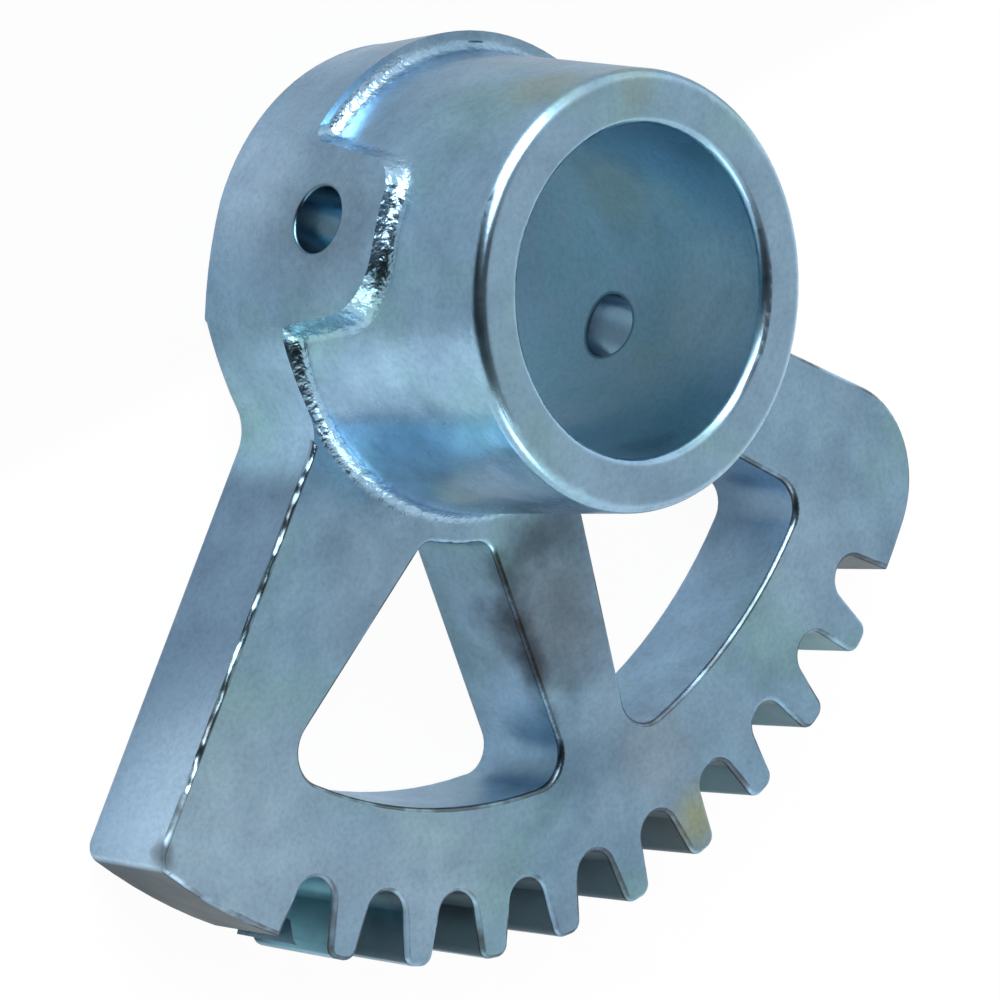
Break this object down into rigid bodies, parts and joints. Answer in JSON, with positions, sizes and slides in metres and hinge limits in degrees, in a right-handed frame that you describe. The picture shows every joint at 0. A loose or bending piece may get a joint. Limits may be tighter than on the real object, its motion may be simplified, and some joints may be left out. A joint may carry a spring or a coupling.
{
  "type": "concave adjusting gear",
  "caption": "Toothed sector gear with a bored hub at its centre: a pinned shaft through the hub swings the sector, and the short row of teeth meets a mating gear.",
  "frame": {"origin": "bore axis at the flat back face", "axes": "+Z along the bore axis from the flat back face towards the front of the hub; -Y through the middle spoke and the middle tooth"},
  "size_m": [0.1485, 0.129, 0.0513],
  "materials": {
    "zinc_plate": "bright blue-passivated zinc plating over an as-forged surface"
  },
  "bodies": {
    "root": {"adjusting_gear": "zinc_plate"}
  },
  "joints": []
}
